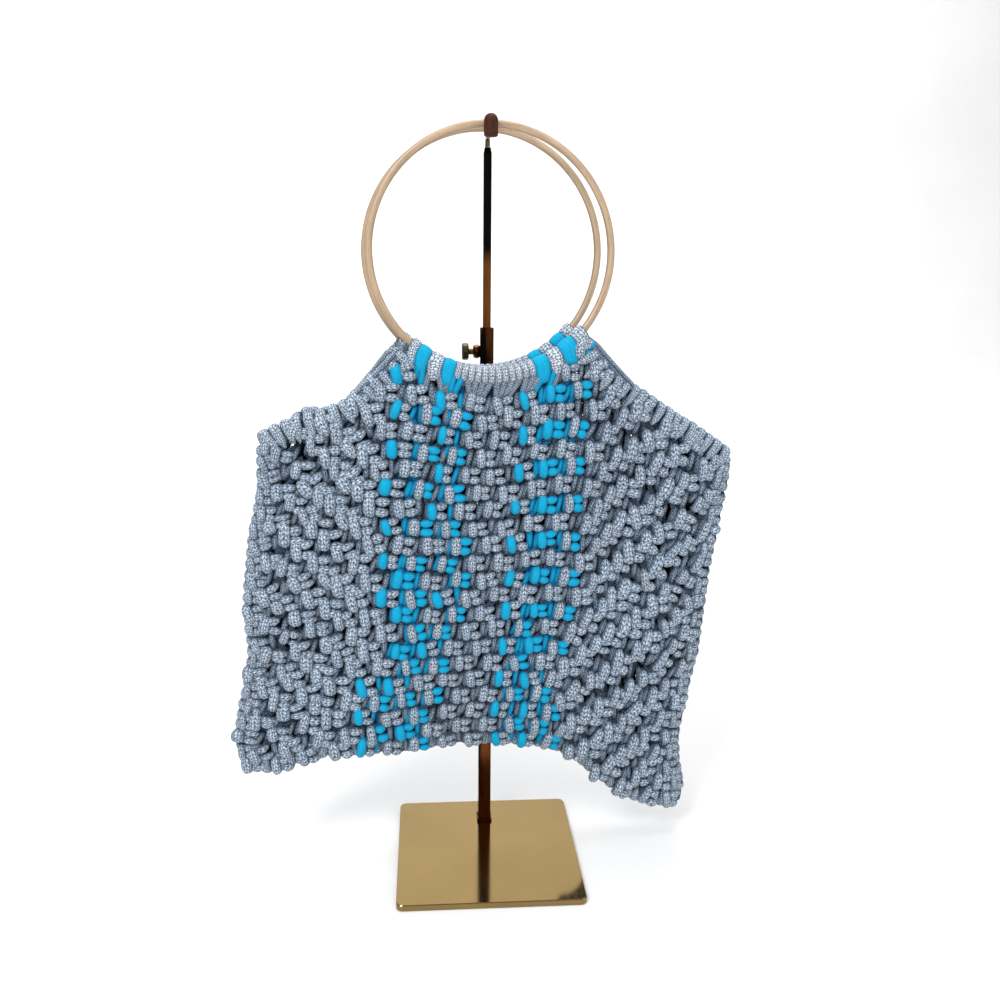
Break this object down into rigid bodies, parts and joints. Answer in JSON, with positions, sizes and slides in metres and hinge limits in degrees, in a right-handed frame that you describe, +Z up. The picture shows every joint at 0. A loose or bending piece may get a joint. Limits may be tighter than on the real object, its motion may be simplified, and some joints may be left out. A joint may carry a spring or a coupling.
{
  "type": "wooden handle bag on a display stand",
  "caption": "Knotted cord handbag with two round wooden hoop handles, grey with turquoise stripes, hanging on the hook of a square-based brass display stand.",
  "frame": {"origin": "centre of the underside of the stand's square plate", "axes": "+Z up; the bag's front faces -Y; +X to the right as the front is seen"},
  "size_m": [0.3785, 0.14, 0.5541],
  "materials": {
    "polished_brass": "polished",
    "dark_brass": "polished, tarnished dark",
    "screw_brass": "aged",
    "cap_plastic": "satin dark brown",
    "hoop_wood": "pale, smooth, unvarnished",
    "grey_cord": "heathered knitted tube cord",
    "turquoise_cord": "smooth jersey cord"
  },
  "bodies": {
    "root": {"base_plate": "polished_brass", "post_tube": "dark_brass", "thumb_screw": "screw_brass", "inner_rod": "dark_brass", "hook": "screw_brass", "hook_cap": "cap_plastic", "hoop_front": "hoop_wood", "hoop_rear": "hoop_wood", "wrap_front_1": "grey_cord", "wrap_front_2": "turquoise_cord", "wrap_front_3": "grey_cord", "wrap_front_4": "turquoise_cord", "wrap_front_5": "grey_cord", "wrap_front_6": "turquoise_cord", "wrap_front_7": "grey_cord", "wrap_front_8": "turquoise_cord", "wrap_front_9": "grey_cord", "wrap_rear_1": "grey_cord", "wrap_rear_2": "turquoise_cord", "wrap_rear_3": "grey_cord", "wrap_rear_4": "turquoise_cord", "wrap_rear_5": "grey_cord", "wrap_rear_6": "turquoise_cord", "wrap_rear_7": "grey_cord", "wrap_rear_8": "turquoise_cord", "wrap_rear_9": "grey_cord", "panel_front": "grey_cord", "panel_rear": "grey_cord"}
  },
  "joints": []
}
